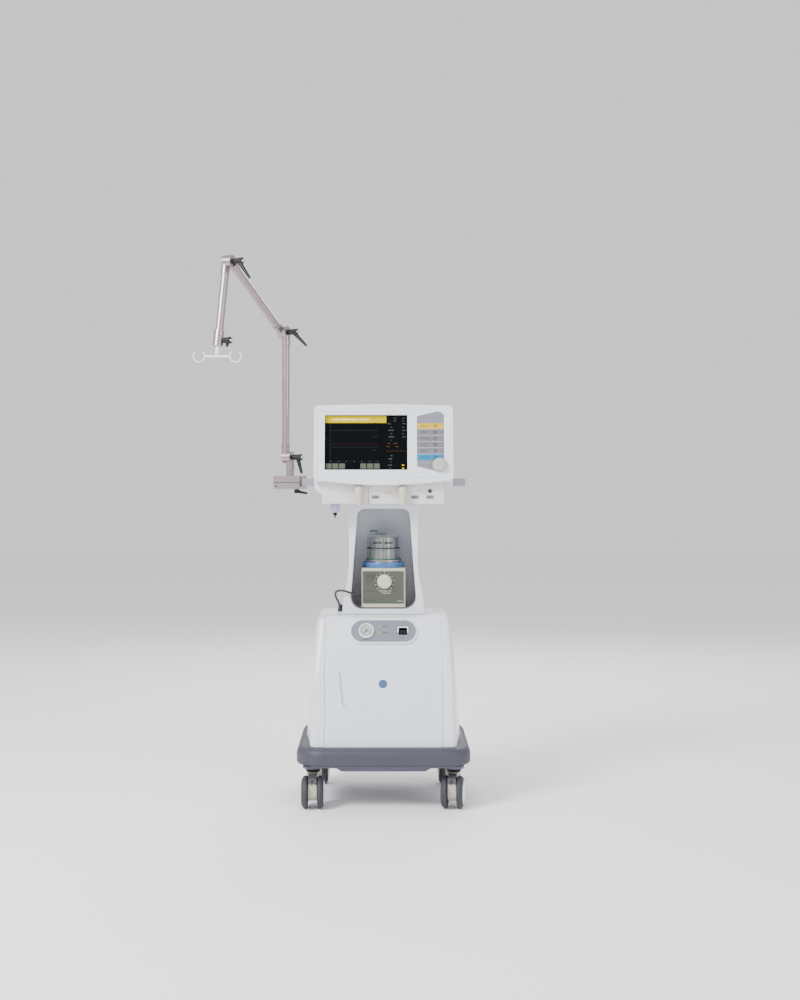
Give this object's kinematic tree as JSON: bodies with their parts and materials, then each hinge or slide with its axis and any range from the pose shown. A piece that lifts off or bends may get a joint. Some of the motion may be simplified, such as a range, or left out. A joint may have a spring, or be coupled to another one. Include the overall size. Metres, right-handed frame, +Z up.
{
  "type": "mechanical ventilator",
  "caption": "Intensive-care ventilator on a wheeled cabinet: tilted display head over two breathing ports, a column niche with heated humidifier, and a jointed hose-support arm.",
  "frame": {"origin": "on the floor, below the middle of the cart's base", "axes": "+X to the right as seen by the user at the display, +Y to the back, +Z up"},
  "size_m": [0.8427, 0.6413, 1.6933],
  "materials": {
    "frame_steel": "satin powder coat",
    "bumper_blue_grey": "fine moulded texture",
    "shell_white": "semi-gloss moulded",
    "panel_warm_white": "semi-gloss moulded",
    "plate_grey": "printed polyester film",
    "machine_steel": "brushed",
    "arm_aluminium": "satin anodised",
    "black_plastic": "moulded glass-filled nylon",
    "gauge_white": "gloss",
    "needle_black": "matt",
    "case_cream": "fine powder coat",
    "face_grey": "printed film",
    "dial_ivory": "moulded",
    "collar_blue": "moulded",
    "chamber_clear": "clear polycarbonate",
    "seal_green": "silicone",
    "cord_grey": "matt cable sheath",
    "port_cream": "moulded",
    "trap_tinted": "translucent plastic",
    "display_glass": "gloss panel",
    "pad_grey": "printed membrane",
    "key_yellow": "printed membrane",
    "key_grey": "printed membrane",
    "key_cyan": "printed membrane",
    "knob_white": "fine moulded texture",
    "holder_white": "moulded",
    "tread_grey": "polyurethane tread"
  },
  "bodies": {
    "cart": {"base_frame": "frame_steel", "base_bumper": "bumper_blue_grey", "cabinet_front": "shell_white", "cabinet_sides": "shell_white", "cabinet_rear": "shell_white", "air_compressor": "machine_steel", "rear_inlets": "machine_steel", "control_plate": "plate_grey", "gauge_case": "gauge_white", "column_post": "machine_steel", "column_shell": "shell_white", "humidifier_case": "case_cream", "humidifier_plate": "face_grey", "heater_collar": "collar_blue", "chamber_core": "machine_steel", "chamber_dome": "chamber_clear", "chamber_rings": "seal_green", "humidifier_cord": "cord_grey", "cord_ends": "black_plastic", "port_block": "panel_warm_white", "exhale_module": "panel_warm_white", "breathing_ports": "port_cream", "trap_cup": "trap_tinted", "head_shell": "shell_white", "head_chassis": "machine_steel", "cross_rail": "arm_aluminium", "monitor_bezel": "shell_white", "screen": "display_glass", "key_panel": "pad_grey", "arm_clamp": "arm_aluminium"},
    "gauge_needle": {"gauge_needle": "needle_black"},
    "power_rocker": {"power_rocker": "black_plastic"},
    "humidifier_dial": {"humidifier_dial": "dial_ivory"},
    "encoder_knob": {"encoder_knob": "knob_white"},
    "arm_post": {"arm_post": "arm_aluminium"},
    "lower_arm": {"lower_arm": "arm_aluminium"},
    "middle_arm": {"middle_arm": "arm_aluminium"},
    "end_arm": {"end_arm": "arm_aluminium"},
    "hose_holder": {"hose_holder": "holder_white"},
    "lever_clamp": {"lever_clamp": "black_plastic"},
    "lever_lower": {"lever_lower": "black_plastic"},
    "lever_middle": {"lever_middle": "black_plastic"},
    "lever_upper": {"lever_upper": "black_plastic"},
    "lever_end": {"lever_end": "black_plastic"},
    "key_1": {"key_1": "key_yellow"},
    "key_2": {"key_2": "key_grey"},
    "key_3": {"key_3": "key_grey"},
    "key_4": {"key_4": "key_grey"},
    "key_5": {"key_5": "key_grey"},
    "key_6": {"key_6": "key_cyan"},
    "caster_fl": {"caster_fl_fork": "panel_warm_white"},
    "wheels_fl": {"caster_fl_wheels": "tread_grey"},
    "caster_fr": {"caster_fr_fork": "panel_warm_white"},
    "wheels_fr": {"caster_fr_wheels": "tread_grey"},
    "caster_rl": {"caster_rl_fork": "panel_warm_white"},
    "wheels_rl": {"caster_rl_wheels": "tread_grey"},
    "caster_rr": {"caster_rr_fork": "panel_warm_white"},
    "wheels_rr": {"caster_rr_wheels": "tread_grey"},
    "pedal_fl": {"caster_fl_pedal": "bumper_blue_grey"},
    "pedal_fr": {"caster_fr_pedal": "bumper_blue_grey"}
  },
  "joints": [
    {"name": "fl_swivel", "type": "hinge", "parent": "cart", "child": "caster_fl", "pos_m": [-0.218, -0.195, 0.108], "axis": [0, 0, 1], "continuous": true},
    {"name": "fl_roll", "type": "hinge", "parent": "caster_fl", "child": "wheels_fl", "pos_m": [-0.218, -0.225, 0.05], "axis": [1, 0, 0], "continuous": true},
    {"name": "fr_swivel", "type": "hinge", "parent": "cart", "child": "caster_fr", "pos_m": [0.218, -0.195, 0.108], "axis": [0, 0, 1], "continuous": true},
    {"name": "fr_roll", "type": "hinge", "parent": "caster_fr", "child": "wheels_fr", "pos_m": [0.21331, -0.22463, 0.05], "axis": [0.9877, -0.1564, 0], "continuous": true},
    {"name": "rl_swivel", "type": "hinge", "parent": "cart", "child": "caster_rl", "pos_m": [-0.218, 0.195, 0.108], "axis": [0, 0, 1], "continuous": true},
    {"name": "rl_roll", "type": "hinge", "parent": "caster_rl", "child": "wheels_rl", "pos_m": [-0.218, 0.165, 0.05], "axis": [1, 0, 0], "continuous": true},
    {"name": "rr_swivel", "type": "hinge", "parent": "cart", "child": "caster_rr", "pos_m": [0.218, 0.195, 0.108], "axis": [0, 0, 1], "continuous": true},
    {"name": "rr_roll", "type": "hinge", "parent": "caster_rr", "child": "wheels_rr", "pos_m": [0.218, 0.165, 0.05], "axis": [1, 0, 0], "continuous": true},
    {"name": "fl_brake", "type": "hinge", "parent": "caster_fl", "child": "pedal_fl", "pos_m": [-0.218, -0.226, 0.104], "axis": [1, 0, 0], "range_deg": [-8, 0]},
    {"name": "fr_brake", "type": "hinge", "parent": "caster_fr", "child": "pedal_fr", "pos_m": [0.21315, -0.22562, 0.104], "axis": [0.9877, -0.1564, 0], "range_deg": [-8, 0]},
    {"name": "gauge_needle_turn", "type": "hinge", "parent": "cart", "child": "gauge_needle", "pos_m": [-0.053, -0.1924, 0.541], "axis": [0, 0.8942, -0.4478], "range_deg": [0, 270]},
    {"name": "power_switch", "type": "hinge", "parent": "cart", "child": "power_rocker", "pos_m": [0.06, -0.1924, 0.541], "axis": [1, 0, 0], "range_deg": [-14, 0]},
    {"name": "key_1_press", "type": "slide", "parent": "cart", "child": "key_1", "axis": [0, 0.9848, -0.1736], "range_m": [0, 0.0008], "stiffness_N_per_m": 800},
    {"name": "key_2_press", "type": "slide", "parent": "cart", "child": "key_2", "axis": [0, 0.9848, -0.1736], "range_m": [0, 0.0008], "stiffness_N_per_m": 800},
    {"name": "key_3_press", "type": "slide", "parent": "cart", "child": "key_3", "axis": [0, 0.9848, -0.1736], "range_m": [0, 0.0008], "stiffness_N_per_m": 800},
    {"name": "key_4_press", "type": "slide", "parent": "cart", "child": "key_4", "axis": [0, 0.9848, -0.1736], "range_m": [0, 0.0008], "stiffness_N_per_m": 800},
    {"name": "key_5_press", "type": "slide", "parent": "cart", "child": "key_5", "axis": [0, 0.9848, -0.1736], "range_m": [0, 0.0008], "stiffness_N_per_m": 800},
    {"name": "key_6_press", "type": "slide", "parent": "cart", "child": "key_6", "axis": [0, 0.9848, -0.1736], "range_m": [0, 0.0008], "stiffness_N_per_m": 800},
    {"name": "encoder_turn", "type": "hinge", "parent": "cart", "child": "encoder_knob", "pos_m": [0.1745, -0.18423, 1.05706], "axis": [0, 0.9848, -0.1736], "continuous": true},
    {"name": "dial_turn", "type": "hinge", "parent": "cart", "child": "humidifier_dial", "pos_m": [0.003, -0.06, 0.686], "axis": [0, 1, 0], "range_deg": [0, 270]},
    {"name": "arm_swivel", "type": "hinge", "parent": "cart", "child": "arm_post", "pos_m": [-0.3, -0.02, 1.023], "axis": [0, 0, 1], "range_deg": [-90, 70]},
    {"name": "lower_elbow", "type": "hinge", "parent": "arm_post", "child": "lower_arm", "pos_m": [-0.30698, -0.01675, 1.083], "axis": [0.9063, -0.4226, 0], "range_deg": [-15, 20]},
    {"name": "middle_elbow", "type": "hinge", "parent": "lower_arm", "child": "middle_arm", "pos_m": [-0.32094, -0.01024, 1.485], "axis": [0.9063, -0.4226, 0], "range_deg": [-60, 20]},
    {"name": "upper_elbow", "type": "hinge", "parent": "middle_arm", "child": "end_arm", "pos_m": [-0.47035, -0.29422, 1.6738], "axis": [0.9063, -0.4226, 0], "range_deg": [-100, 36]},
    {"name": "holder_turn", "type": "hinge", "parent": "end_arm", "child": "hose_holder", "pos_m": [-0.4983, -0.33593, 1.41858], "axis": [-0.0806, -0.1729, -0.9816], "range_deg": [-90, 90]},
    {"name": "clamp_lever_turn", "type": "hinge", "parent": "cart", "child": "lever_clamp", "pos_m": [-0.278, -0.02, 0.975], "axis": [0, 0, 1], "range_deg": [-60, 60]},
    {"name": "lower_lever_turn", "type": "hinge", "parent": "arm_post", "child": "lever_lower", "pos_m": [-0.29302, -0.02325, 1.083], "axis": [0.9063, -0.4226, 0], "range_deg": [-60, 60]},
    {"name": "middle_lever_turn", "type": "hinge", "parent": "lower_arm", "child": "lever_middle", "pos_m": [-0.30698, -0.01675, 1.485], "axis": [0.9063, -0.4226, 0], "range_deg": [-60, 60]},
    {"name": "upper_lever_turn", "type": "hinge", "parent": "middle_arm", "child": "lever_upper", "pos_m": [-0.4564, -0.30073, 1.6738], "axis": [0.9063, -0.4226, 0], "range_deg": [-60, 60]},
    {"name": "end_lever_turn", "type": "hinge", "parent": "end_arm", "child": "lever_end", "pos_m": [-0.48328, -0.34041, 1.43036], "axis": [0.9063, -0.4226, 0], "range_deg": [-60, 60]}
  ]
}
